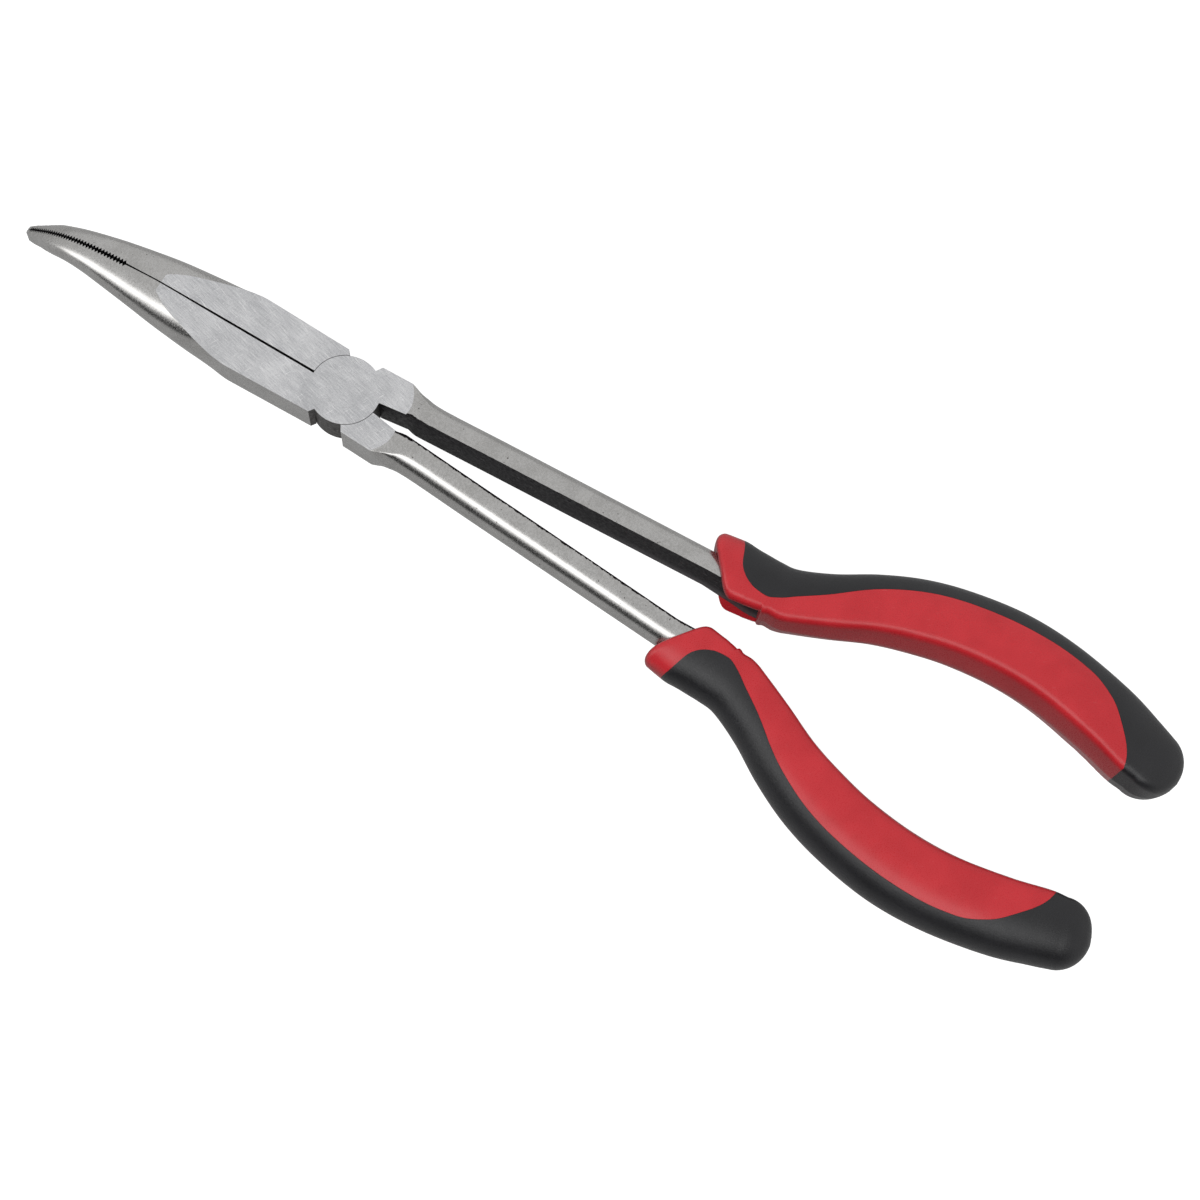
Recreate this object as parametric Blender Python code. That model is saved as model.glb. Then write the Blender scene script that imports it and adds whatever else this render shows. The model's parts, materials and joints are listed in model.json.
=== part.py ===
"""Long-reach pliers with a bent needle nose: two forged halves on a lap joint, held by a flush
rivet, with a two-shot grip on each handle.

+Y runs from the pivot to the nose, +X is to the right with the front face up, and +Z is the front.
The origin is on the pivot axis, on the joint's back face. The jaws are closed.
Sizes here are in millimetres. new_object turns them into metres.
"""

import math

import bmesh
import bpy
from mathutils import Vector

MM = 0.001

# Joint
JOINT_THICKNESS = 9.6
DISC_RADIUS = 7.75
LAP_GAP = 0.2
ARC_GAP = 0.3
RIVET_RADIUS = 3.0
RIVET_HEAD_RADIUS = 4.0
RIVET_HEAD_DEPTH = 1.6
RIVET_CLEARANCE = 0.08
RIVET_HOLE_PAST = 0.5
SHOULDER_SINK = 0.8

# Jaws: distance along the nose, half width of the pair, and how far the section is from a slab
JAW_GAP = 0.3
JAW_SHOULDER = (8.2, 4.1)
JAW_BLOCK_END = 24.0
NOSE_LENGTH = 87.0
JAW_HALF_WIDTH = [(24, 8.75), (29, 8.9), (34, 8.78), (38, 8.5), (45, 7.8), (52, 6.8), (59, 5.75),
                  (66, 4.65), (72, 3.9), (78, 3.35), (83, 2.85), (NOSE_LENGTH, 2.05)]
JAW_CROWN = [(24, 0), (26, 0.045), (28, 0.078), (30.5, 0.108), (33.5, 0.135), (37, 0.159), (41, 0.178),
             (46, 0.202), (52, 0.227), (60, 0.256), (66, 0.286), (72, 0.333), (78, 0.39), (84, 0.46),
             (NOSE_LENGTH, 0.52)]
CROWN_POWER = 2.3
FLAT_LAND = 0.85
# Distance along the nose against how far it has turned down, in degrees
BEND = [(44, 0), (52, 5.7), (56, 7.2), (60, 10), (64, 14.5), (68, 21), (72, 29), (76, 35), (80, 40),
        (84, 41), (88, 41)]
BEND_STEP = 0.5
PLAIN_RINGS = [26, 28, 30.5, 33.5, 37, 41, 45, 49, 53]
TEETH_START = 55.2
TEETH_PITCH = 0.9
TEETH_COUNT = 34
TOOTH_DEPTH = 0.6

# Handles: both lean half a degree to the left of the jaws' parting line
HANDLE_LEAN = math.tan(math.radians(0.52))
HANDLE_SHOULDER = (8.5, -4.2)
SLOT_HALF_WIDTH = 1.24
FORGED_DRAFT = 1.0
# Inner point, outer point, half thickness and depth of the rounded outer side
REIN = [((2.1, -13.9), (8.76, -11.6), 4.8, 0.0),
        ((2.5, -14.5), (8.7, -12.4), 4.4, 1.6),
        ((2.7, -18.5), (8.36, -17.8), 4.25, 4.0),
        ((4.75, -53.0), (10.3, -53.0), 4.25, 4.2),
        ((6.75, -86.0), (12.1, -86.0), 4.25, 4.2)]
# Steel inside the grip: middle, angle of the section, half width, half thickness, rounding, draft
TANG = [(9.5, -93.0, 3, 2.55, 4.2, 3.8, 1.5), (9.5, -99.5, 8, 2.6, 4.0, 3.2, 1.5),
        (11.9, -106.5, 24, 2.7, 3.5, 2.2, 0.3), (15.1, -112.7, 28, 2.7, 3.5, 2.2, 0.0),
        (19.4, -120.8, 25, 2.7, 3.5, 2.2, 0.0), (22.8, -129.3, 19, 2.7, 3.5, 2.2, 0.0),
        (25.2, -138.4, 11, 2.7, 3.5, 2.2, 0.0), (26.5, -147.0, 4, 2.7, 3.5, 2.2, 0.0)]

# Grip: middle, angle of the section, half width and half thickness
GRIP = [(9.2, -87.4, 38, 7.3, 6.2),
        (10.2, -92.0, 35, 7.8, 6.5),
        (10.55, -96.25, 28.7, 7.8, 6.5),
        (10.9, -101.25, 22.5, 7.17, 6.4),
        (11.86, -105.25, 24, 6.8, 6.5),
        (15.1, -112.7, 28, 7.0, 6.9),
        (19.4, -120.8, 25, 7.55, 7.3),
        (22.8, -129.3, 19, 8.15, 7.6),
        (25.2, -138.4, 11, 8.4, 7.8),
        (26.65, -149.6, 2.5, 8.64, 7.8),
        (26.3, -160.9, -6, 8.57, 7.8),
        (24.1, -173.6, -12.5, 8.4, 7.7),
        (21.65, -182.2, -16, 8.05, 7.4),
        (20.75, -186.0, -17, 7.6, 7.0)]
# Where the cover's edge lies on the front: row of the grip against distance across its section
COVER_EDGE = [(1.08, 1.6), (1.11, 0.3), (1.2, -1.0), (1.38, -2.0), (1.7, -2.8), (2.3, -3.17), (3.0, -2.07),
              (4.6, 0.48), (5.5, 2.15), (6.3, 3.15), (7.3, 3.95), (8.2, 4.15), (9.1, 4.25), (9.8, 4.4),
              (10.35, 4.2), (10.8, 2.66), (11.27, -0.32), (11.86, -4.06), (12.14, -6.6)]
# Lean of the inner wall from the mid-plane to the faces, by row
WALL_DRAFT = [(1.9, 0.0), (3.0, 0.12), (6.0, 0.24), (9.0, 0.26), (11.5, 0.17), (13.0, 0.14)]
# How far the inner wall stands back, by row, with the collar's lips first
LIP_RECESS = [(0.0, 0.0), (1.0, 0.35), (2.12, 1.1), (2.45, 0.8), (3.0, 0.25), (3.6, 0.0)]
# Share of the half width, on the inner side, where the recess begins, and over which it comes in full
RECESS_FROM = 0.4
RECESS_OVER = 0.5
COLLAR_STATIONS = [0.0, 0.3, 0.7, 1.0]
COVER_STATIONS = [1.15, 1.25, 1.4, 1.65, 1.9, 2.14, 2.5, 3.0, 3.5, 4.2, 5.0, 5.8, 6.6, 7.5, 8.4, 9.2, 9.8,
                  10.35, 10.8, 11.27, 11.6, 11.86]
SLIT_END = 2.14
GRIP_END = len(GRIP) - 1.0
CAP_LENGTH = 7.2
CAP_RINGS = 6
SKIN_STEPS = 6
WALL_STEPS = 4
INNER_CORNER = 1.9
CORNER_STEPS = 3
GRIP_FLAT = 0.35
GRIP_POWER = 2.2
COVER_THICKNESS = 1.0
PART_GAP = 0.3
SLIT_HALF_HEIGHT = 4.5
SLIT_FLOOR = 1.0
CUTTER_PAST = 2.5
POCKET_POINT = 0.05

STEEL = ((0.50, 0.49, 0.48, 1), 0.35, 1.0)
RIVET_STEEL = ((0.52, 0.52, 0.52, 1), 0.3, 1.0)
RED_PLASTIC = ((0.52, 0.045, 0.05, 1), 0.4, 0.0)
BLACK_RUBBER = ((0.03, 0.03, 0.032, 1), 0.55, 0.0)

HALF = JOINT_THICKNESS / 2


def material(name, finish):
    made = bpy.data.materials.new(name)
    made.use_nodes = True
    shader = made.node_tree.nodes["Principled BSDF"]
    colour, roughness, metallic = finish
    shader.inputs["Base Color"].default_value = colour
    shader.inputs["Roughness"].default_value = roughness
    shader.inputs["Metallic"].default_value = metallic
    made.diffuse_color = colour
    return made


def new_object(name, bm, finish=None, parent=None):
    """Closes the working mesh, faces its sides outwards and places it in the scene, in metres."""
    bmesh.ops.remove_doubles(bm, verts=bm.verts, dist=1e-4)
    bmesh.ops.recalc_face_normals(bm, faces=bm.faces)
    bmesh.ops.scale(bm, vec=(MM, MM, MM), verts=bm.verts)
    mesh = bpy.data.meshes.new(name)
    bm.to_mesh(mesh)
    bm.free()
    mesh.shade_smooth()
    mesh.set_sharp_from_angle(angle=math.radians(32))
    made = bpy.data.objects.new(name, mesh)
    bpy.context.scene.collection.objects.link(made)
    made.parent = parent
    if finish:
        mesh.materials.append(finish)
    else:
        made.hide_render = True
        made.display_type = "WIRE"
    return made


def cut(target, cutter):
    """Takes the cutter's volume out of the target."""
    modifier = target.modifiers.new(cutter.name, "BOOLEAN")
    modifier.operation = "DIFFERENCE"
    modifier.solver = "EXACT"
    modifier.object = cutter


def along(knots, at):
    """A smooth curve through (distance, value) knots, level where the values turn."""
    at = min(max(at, knots[0][0]), knots[-1][0])
    slopes = [(b[1] - a[1]) / (b[0] - a[0]) for a, b in zip(knots, knots[1:])]

    def tangent(i):
        if i in (0, len(slopes)):
            return slopes[min(i, len(slopes) - 1)]
        left, right = slopes[i - 1], slopes[i]
        return 2 * left * right / (left + right) if left * right > 0 else 0.0

    i = max(k for k in range(len(slopes)) if knots[k][0] <= at)
    width = knots[i + 1][0] - knots[i][0]
    t = (at - knots[i][0]) / width
    start = (2 * t**3 - 3 * t**2 + 1) * knots[i][1] + (t**3 - 2 * t**2 + t) * width * tangent(i)
    end = (3 * t**2 - 2 * t**3) * knots[i + 1][1] + (t**3 - t**2) * width * tangent(i + 1)
    return start + end


def between(rows, at):
    """The row at a fractional index, on a Catmull-Rom curve through all the rows."""
    i = min(int(at), len(rows) - 2)
    t = at - i
    picked = [rows[min(max(k, 0), len(rows) - 1)] for k in (i - 1, i, i + 1, i + 2)]
    return [0.5 * (2 * b + (c - a) * t + (2 * a - 5 * b + 4 * c - d) * t**2
                   + (3 * b - a - 3 * c + d) * t**3) for a, b, c, d in zip(*picked)]


def loft(bm, rings, start_cap=True, end_cap=True):
    """Skins a row of equal rings of vertices."""
    for low, high in zip(rings, rings[1:]):
        for i in range(len(low)):
            j = (i + 1) % len(low)
            bm.faces.new((low[i], low[j], high[j], high[i]))
    if start_cap:
        bm.faces.new(rings[0])
    if end_cap:
        bm.faces.new(rings[-1])


def verts(bm, points):
    return [bm.verts.new(p) for p in points]


# ---------------------------------------------------------------- forged halves

def nose_frame(distance):
    """Place along Y, drop, and tilt of the nose's middle line at a distance from the pivot."""
    y, drop = min(distance, BEND[0][0]), 0.0
    steps = math.ceil(max(distance - y, 0.0) / BEND_STEP)
    step = (distance - y) / max(steps, 1)
    for i in range(steps):
        tilt = math.radians(along(BEND, BEND[0][0] + (i + 0.5) * step))
        y += step * math.cos(tilt)
        drop += step * math.sin(tilt)
    return y, drop, math.radians(along(BEND, distance))


def jaw_section(distance, steps=5):
    """Half section of a jaw as (width, height) points, from its front inner edge to its back one."""
    half_width = along(JAW_HALF_WIDTH, distance)
    crown = along(JAW_CROWN, distance)

    def width_at(height):
        return half_width * max(1 - (height * crown) ** CROWN_POWER, 0.0) ** (1 / CROWN_POWER)

    top = HALF
    if crown:
        ridge = (1 - (FLAT_LAND / half_width) ** CROWN_POWER) ** (1 / CROWN_POWER) / crown
        top = min(ridge, HALF)
    turns = [math.pi / 2 * i / steps for i in range(steps + 1)]
    front = [(width_at(top * math.cos(a)), top * math.cos(a)) for a in turns]
    return [(0.0, top)] + front + [(w, -z) for w, z in front[-2::-1]] + [(0.0, -top)]


def jaw_ring(distance, bend, tooth=0.0):
    """Points around one jaw, on the -X side, with its inner face moved out by a tooth."""
    y, drop, tilt = nose_frame(distance)
    points = []
    for width, height in jaw_section(distance):
        x = -(JAW_GAP / 2 + tooth) if width == 0.0 else -max(width, JAW_GAP)
        points.append((x, y + bend * height * math.sin(tilt), -bend * drop + height * math.cos(tilt)))
    return points


def jaw_rings(bend):
    """Rings from the joint block to the tip, with serrations that face each other."""
    rings = [jaw_ring(d, bend) for d in PLAIN_RINGS]
    for i in range(2 * TEETH_COUNT + 1):
        tooth = TOOTH_DEPTH if i % 2 else 0.0
        rings.append(jaw_ring(TEETH_START + i * TEETH_PITCH / 2, bend, tooth))
    rings.append(jaw_ring(NOSE_LENGTH, bend))
    return rings


def rein_ring(inner, outer, half, rounding, draft, steps=5, grow=0.0):
    """Points around one handle bar, D-shaped, from its front inner edge to its back one."""
    inner, outer = Vector(inner), Vector(outer)
    across = (outer - inner).normalized()
    reach = (outer - inner).length
    curve = []
    for i in range(steps + 1):
        height = math.cos(i * math.pi / 2 / steps)
        side = reach + grow - rounding * (1 - math.sqrt(max(1 - height**2, 0.0)))
        curve.append((side, (half + grow) * height))
    outline = [(-grow, half + grow)] + curve + [(w, -z) for w, z in curve[-2::-1]]
    outline.append((-grow - draft, -half - grow))
    return [(*(inner + across * w), z) for w, z in outline]


def tang_rings(grow=0.0):
    """Rings along the steel that runs inside the grip."""
    rings = []
    for i in range(2 * len(TANG) - 1):
        x, y, angle, half_width, half_thickness, rounding, draft = between(TANG, i / 2)
        across = Vector((math.cos(math.radians(angle)), math.sin(math.radians(angle))))
        middle = Vector((x, y))
        rings.append(rein_ring(middle - across * half_width, middle + across * half_width,
                               half_thickness, rounding, draft, grow=grow))
    return rings


def arc(start, end, step=6.0):
    """Points round the disc from one angle to another, in degrees, both ends included."""
    count = max(1, round(abs(end - start) / step))
    angles = [math.radians(start + (end - start) * i / count) for i in range(count + 1)]
    return [(DISC_RADIUS * math.cos(a), DISC_RADIUS * math.sin(a)) for a in angles]


def lean(point, side):
    """Moves a point of the handle sideways by the handles' lean, in the half's own frame."""
    x, y, z = point
    return (x - side * HANDLE_LEAN * max(-y - DISC_RADIUS, 0.0), y, z)


def half_blank(side):
    """One half before the lap is cut. It is drawn as the front half, with its jaw on -X and its
    handle on +X. The back half (side -1) is the same shape turned over about Y, but its nose
    bends the other way in this frame so that both noses bend together."""
    bm = bmesh.new()
    shoulder = math.degrees(math.asin(JAW_SHOULDER[1] * SHOULDER_SINK / DISC_RADIUS))
    slot = math.degrees(math.acos(SLOT_HALF_WIDTH / DISC_RADIUS))
    outline = [(-JAW_GAP / 2, JAW_BLOCK_END)] + arc(91.0, -shoulder) + [HANDLE_SHOULDER, REIN[0][1]]
    rein_edge = len(outline)
    outline += [REIN[0][0]] + arc(-slot, -360 + 180 - shoulder)
    outline += [(-JAW_SHOULDER[0], JAW_SHOULDER[1]), (-JAW_HALF_WIDTH[0][1], JAW_BLOCK_END)]
    front = verts(bm, [(x, y, HALF) for x, y in outline])
    back = verts(bm, [(x, y, -HALF) for x, y in outline])
    last = len(outline) - 1

    jaw = [verts(bm, ring) for ring in jaw_rings(side)]
    jaw_root = jaw_ring(JAW_BLOCK_END, side)
    jaw_side = verts(bm, jaw_root[2:-2])
    loft(bm, [[front[0], front[last]] + jaw_side + [back[last], back[0]]] + jaw, start_cap=False)

    rows = [rein_ring(*row, 0.0 if i == 0 else FORGED_DRAFT * min(i / 2, 1)) for i, row in enumerate(REIN)]
    bar = [verts(bm, [lean(p, side) for p in ring]) for ring in rows[1:] + tang_rings()]
    bar_side = verts(bm, rows[0][2:-2])
    root = [front[rein_edge], front[rein_edge - 1]] + bar_side + [back[rein_edge - 1], back[rein_edge]]
    loft(bm, [root] + bar, start_cap=False)

    bm.faces.new(front)
    bm.faces.new(back)
    for i in range(last):
        if i == rein_edge - 1:
            continue
        extra = []
        if i == last - 1:
            extra = jaw_side
        elif i == rein_edge - 2:
            extra = bar_side
        bm.faces.new([front[i], front[i + 1]] + extra + [back[i + 1], back[i]])
    turn = -1 if side < 0 else 1
    for v in bm.verts:
        v.co = (turn * v.co.x, v.co.y, turn * v.co.z + HALF)
    return bm


def lathe(name, profile, finish=None, parent=None, segments=48):
    """A closed turned solid from (radius, height) points that start and end on the axis."""
    bm = bmesh.new()
    rings = []
    for radius, height in profile:
        turn = [2 * math.pi * i / segments for i in range(segments)]
        rings.append(verts(bm, [(radius * math.cos(a), radius * math.sin(a), height) for a in turn]))
    loft(bm, rings)
    return new_object(name, bm, finish, parent)


def rivet_profile(clearance, past):
    """Shank with a flared head at each end, and past both faces of the joint by a given height."""
    slope = (RIVET_HEAD_RADIUS - RIVET_RADIUS) / RIVET_HEAD_DEPTH
    head = RIVET_HEAD_RADIUS + clearance + past * slope
    shank = RIVET_RADIUS + clearance
    return [(head, -past), (shank, RIVET_HEAD_DEPTH), (shank, JOINT_THICKNESS - RIVET_HEAD_DEPTH),
            (head, JOINT_THICKNESS + past)]


def make_half(name, side, steel, parent):
    """A forged half: its blank, less the lap for the other half's disc and the rivet's hole."""
    half = new_object(name, half_blank(side), steel, parent)
    lap = HALF + side * LAP_GAP / 2
    outside = HALF - side * (HALF + 1)
    radius = DISC_RADIUS + ARC_GAP
    cut(half, lathe(f"lap_cutter_{name}", [(radius, min(lap, outside)), (radius, max(lap, outside))],
                    segments=72))
    cut(half, bpy.data.objects["rivet_hole_cutter"])
    return half


# ---------------------------------------------------------------- grips

def grip_outline(half_width, half_thickness, draft, count=9):
    """Front half of the grip's section from its inner side to its outer side, as (across, up).
    The inner side is a drafted wall with a soft corner, and the outer side is a rounded swell."""
    wall_angle = math.atan(draft)
    corner_start = half_thickness - INNER_CORNER * (1 - math.sin(wall_angle))
    flat_start = -half_width + draft * corner_start + INNER_CORNER * math.cos(wall_angle)
    flat_end = flat_start + GRIP_FLAT * half_width
    points = [(-half_width, 0.0)]
    for i in range(CORNER_STEPS + 1):
        angle = wall_angle + (math.pi / 2 - wall_angle) * i / CORNER_STEPS
        points.append((flat_start - INNER_CORNER * math.cos(angle),
                       half_thickness - INNER_CORNER * (1 - math.sin(angle))))
    for i in range(count + 1):
        angle = math.pi / 2 * i / count
        swell = math.sin(angle) ** (2 / GRIP_POWER)
        rise = max(math.cos(angle), 0.0) ** (2 / GRIP_POWER)
        points.append((flat_end + (half_width - flat_end) * swell, half_thickness * rise))
    points[-1] = (half_width, 0.0)
    return points


def clip(points, start, keep_outer):
    """The part of a front outline on one side of an across value, cut exactly at that value."""
    corner_end = CORNER_STEPS + 1
    for i in range(corner_end, len(points) - 1):
        low, high = points[i], points[i + 1]
        if low[0] <= start < high[0]:
            t = (start - low[0]) / (high[0] - low[0])
            edge = (start, low[1] + t * (high[1] - low[1]))
            return [edge] + points[i + 1:] if keep_outer else points[:i + 1] + [edge]
    return points[corner_end:] if keep_outer else points[:corner_end + 1]


def even(points, count):
    """Spreads a polyline's points evenly along its length."""
    lengths = [math.dist(a, b) for a, b in zip(points, points[1:])]
    total = sum(lengths)
    spread = [points[0]]
    for k in range(1, count):
        target = total * k / count
        i = 0
        while target > lengths[i]:
            target -= lengths[i]
            i += 1
        t = target / lengths[i]
        spread.append(tuple(a + t * (b - a) for a, b in zip(points[i], points[i + 1])))
    return spread + [points[-1]]


def smooth(t):
    t = min(max(t, 0.0), 1.0)
    return t * t * (3 - 2 * t)


def station(at):
    """The grip at a fractional row of its table: a function that places (across, up) points, one
    that gives the section's outline, where the cover's edge lies, and the half width."""
    x, y, angle, half_width, half_thickness = between(GRIP, at)
    angle = math.radians(angle)
    across = Vector((math.cos(angle), math.sin(angle)))
    recess = along(LIP_RECESS, at)

    def place(point, side, past=0.0):
        u, z = point
        u += recess * smooth((-u / half_width - RECESS_FROM) / RECESS_OVER)
        x_at = x + across.x * u + past * math.sin(angle)
        y_at = y + across.y * u - past * math.cos(angle)
        return to_world(lean((x_at, y_at, z), side), side)

    def outline(grow=0.0, scale=1.0):
        return grip_outline(half_width * scale + grow, half_thickness * scale + grow, along(WALL_DRAFT, at))

    return place, outline, along(COVER_EDGE, at), half_width


def both_sides(points):
    """Front half outline followed by its mirror on the back, as one closed ring."""
    return points + [(u, -z) for u, z in points[-2:0:-1]]


def to_world(point, side):
    """From a half's own frame, where the handle is on +X, to the tool's frame."""
    x, y, z = point
    return (side * x, y, side * z + HALF)


def grip_blank(side):
    """The core's whole form, from the collar to the cover's cap."""
    bm = bmesh.new()
    rings = []
    for at in COLLAR_STATIONS + COVER_STATIONS:
        place, outline, _, _ = station(at)
        ahead = -PART_GAP if at == COVER_STATIONS[-1] else 0.0
        ring = both_sides(even(outline(), 2 * SKIN_STEPS))
        rings.append(verts(bm, [place(p, side, ahead) for p in ring]))
    loft(bm, rings)
    return bm


def cover_strip_ring(at, grow, side, past=0.0):
    """Section of the overmould where it lies on the core's back: outer skin, then inner skin."""
    place, outline, edge, _ = station(at)
    proud = COVER_THICKNESS if grow else 0.0
    outer = even(clip(outline(proud), edge - grow, True), SKIN_STEPS)
    inner = even(clip(outline(-COVER_THICKNESS - grow), edge - grow, True), SKIN_STEPS)
    outer = outer + [(u, -z) for u, z in outer[-2::-1]]
    inner = inner + [(u, -z) for u, z in inner[-2::-1]]
    return [place(p, side, past) for p in outer + inner[::-1]]


def cover_space(side):
    """Room for the overmould in the core, with a small gap all round."""
    bm = bmesh.new()
    first, last = COVER_STATIONS[0], COVER_STATIONS[-1]
    rings = [cover_strip_ring(first, PART_GAP, side, -PART_GAP)]
    rings += [cover_strip_ring(at, PART_GAP, side) for at in COVER_STATIONS[1:]]
    rings.append(cover_strip_ring(last, PART_GAP, side, CUTTER_PAST))
    loft(bm, [verts(bm, ring) for ring in rings])
    return bm


def cover(side):
    """The overmould: a strip round the outer side that closes into a solid cap at the end."""
    bm = bmesh.new()
    strip = [verts(bm, cover_strip_ring(at, 0.0, side)) for at in COVER_STATIONS]
    loft(bm, strip, end_cap=False)
    skin_count = len(strip[0]) // 2
    skin, floor = strip[-1][:skin_count], strip[-1][skin_count:]

    def inner_wall(at, scale=1.0, past=0.0):
        place, outline, edge, _ = station(at)
        wall = even(clip(outline(scale=scale), edge * scale, False), WALL_STEPS)
        ring = [(u, -z) for u, z in wall[-2:0:-1]] + wall[:-1]
        return verts(bm, [place(p, side, past) for p in ring])

    def skin_ring(at, scale=1.0, past=0.0):
        place, outline, edge, _ = station(at)
        outer = even(clip(outline(scale=scale), edge * scale, True), SKIN_STEPS)
        outer = outer + [(u, -z) for u, z in outer[-2::-1]]
        return verts(bm, [place(p, side, past) for p in outer])

    wall = inner_wall(COVER_STATIONS[-1])
    bm.faces.new(floor + skin[:1] + wall[::-1] + skin[-1:])
    rings = [skin + wall]
    rings.append(skin_ring(GRIP_END) + inner_wall(GRIP_END))
    for i in range(1, CAP_RINGS):
        angle = math.pi / 2 * i / CAP_RINGS
        scale, past = math.cos(angle), CAP_LENGTH * math.sin(angle)
        rings.append(skin_ring(GRIP_END, scale, past) + inner_wall(GRIP_END, scale, past))
    loft(bm, rings, start_cap=False)
    return bm


def pocket(side):
    """Space in the core for the steel, open at the collar."""
    bm = bmesh.new()
    mouth = rein_ring(*REIN[-1], FORGED_DRAFT, grow=PART_GAP)
    rings = [[(x, y + CUTTER_PAST, z) for x, y, z in mouth], mouth] + tang_rings(grow=PART_GAP)
    x, y = (sum(p[k] for p in rings[-1]) / len(rings[-1]) for k in (0, 1))
    rings.append([(p[0] + (x - p[0]) * POCKET_POINT, p[1] - PART_GAP, p[2]) for p in rings[-1]])
    loft(bm, [verts(bm, [to_world(lean(p, side), side) for p in ring]) for ring in rings])
    return bm


def slit(side):
    """The collar's open inner side, between its front lip and its back lip."""
    bm = bmesh.new()
    rings = []
    for i in range(5):
        place, _, _, half_width = station(SLIT_END * i / 4)
        outside = -half_width - CUTTER_PAST
        box = [(outside, SLIT_HALF_HEIGHT), (-SLIT_FLOOR, SLIT_HALF_HEIGHT),
               (-SLIT_FLOOR, -SLIT_HALF_HEIGHT), (outside, -SLIT_HALF_HEIGHT)]
        ahead = -CUTTER_PAST if i == 0 else 0.0
        rings.append(verts(bm, [place(p, side, ahead) for p in box]))
    loft(bm, rings)
    return bm


def make_grip(word, side, red, black, parent):
    """The hard core, with its steel pocket, collar slit and recess, and the soft cover on it."""
    core = new_object(f"grip_core_{word}", grip_blank(side), red, parent)
    cut(core, new_object(f"cover_space_{word}", cover_space(side)))
    cut(core, new_object(f"pocket_{word}", pocket(side)))
    cut(core, new_object(f"slit_{word}", slit(side)))
    new_object(f"grip_cover_{word}", cover(side), black, parent)


def main():
    for old in list(bpy.data.objects):
        bpy.data.objects.remove(old, do_unlink=True)
    steel = material("forged_steel", STEEL)
    red = material("red_plastic", RED_PLASTIC)
    black = material("black_rubber", BLACK_RUBBER)
    pivot = bpy.data.objects.new("pivot_axis", None)
    bpy.context.scene.collection.objects.link(pivot)
    lathe("rivet_hole_cutter", rivet_profile(RIVET_CLEARANCE, RIVET_HOLE_PAST))
    lathe("pivot_rivet", rivet_profile(0.0, 0.0), material("rivet_steel", RIVET_STEEL), pivot)
    make_half("front_half", 1, steel, pivot)
    make_half("back_half", -1, steel, pivot)
    make_grip("right", 1, red, black, pivot)
    make_grip("left", -1, red, black, pivot)


main()
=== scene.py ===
"""Looks of the long-reach bent nose pliers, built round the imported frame.

Each forged half, the rivet, and each grip's hard core and soft cover is a finer mesh that stands
for its CAD node and rides on its lever. Sizes are in millimetres: +Y to the nose, +X right, +Z out
of the joint's front face. A half is drawn lying on its own mid-plane, with its jaw on -X and its
handle on +X, and the back half is that shape turned over.
"""

import json
import math

import bmesh
import bpy
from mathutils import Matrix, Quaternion, Vector


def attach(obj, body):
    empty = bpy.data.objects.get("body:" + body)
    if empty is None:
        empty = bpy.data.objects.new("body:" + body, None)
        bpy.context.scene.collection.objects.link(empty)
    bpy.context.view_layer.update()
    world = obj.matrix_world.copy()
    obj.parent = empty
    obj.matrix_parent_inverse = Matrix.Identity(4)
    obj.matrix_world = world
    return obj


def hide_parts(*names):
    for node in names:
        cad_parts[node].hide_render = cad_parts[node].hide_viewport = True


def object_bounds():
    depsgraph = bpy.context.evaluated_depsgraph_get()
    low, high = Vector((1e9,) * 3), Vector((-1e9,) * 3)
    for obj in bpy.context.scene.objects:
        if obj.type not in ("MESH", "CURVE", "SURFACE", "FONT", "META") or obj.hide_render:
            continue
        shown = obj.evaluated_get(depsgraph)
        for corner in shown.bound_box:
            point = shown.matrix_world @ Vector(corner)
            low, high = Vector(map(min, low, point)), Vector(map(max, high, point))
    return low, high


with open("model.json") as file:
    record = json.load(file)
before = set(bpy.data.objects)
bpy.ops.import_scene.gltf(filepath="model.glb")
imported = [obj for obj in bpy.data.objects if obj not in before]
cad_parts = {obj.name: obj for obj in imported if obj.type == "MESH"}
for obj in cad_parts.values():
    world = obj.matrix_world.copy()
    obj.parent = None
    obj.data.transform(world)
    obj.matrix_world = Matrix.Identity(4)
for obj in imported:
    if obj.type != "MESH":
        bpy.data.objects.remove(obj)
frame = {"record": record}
CAD_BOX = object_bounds()

MM = 0.001
FACES = {mount["name"]: mount["pos_m"][2] / MM for mount in frame["record"]["mounts"]}
JOINT_THICKNESS = FACES["joint_front_face"] - FACES["joint_back_face"]
HALF = JOINT_THICKNESS / 2
LEVERS = {1: "front_lever", -1: "back_lever"}

# Joint
DISC_RADIUS = 7.75
LAP_GAP = 0.12
ARC_GAP = 0.12
RIVET_RADIUS = 3.0
RIVET_HEAD_RADIUS = 4.0
RIVET_HEAD_DEPTH = 1.6
RIVET_SEAM = 0.012
SHOULDER_SINK = 0.8
JAW_SHOULDER = (8.2, 4.1)
HANDLE_SHOULDER = (8.5, -4.2)
SLOT_HALF_WIDTH = 1.24
EDGE_BREAK = 0.14
# How far the lap's cutter and the rivet hole's cutter reach past the faces
LAP_PAST = 1.0
HOLE_PAST = 0.5

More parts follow.
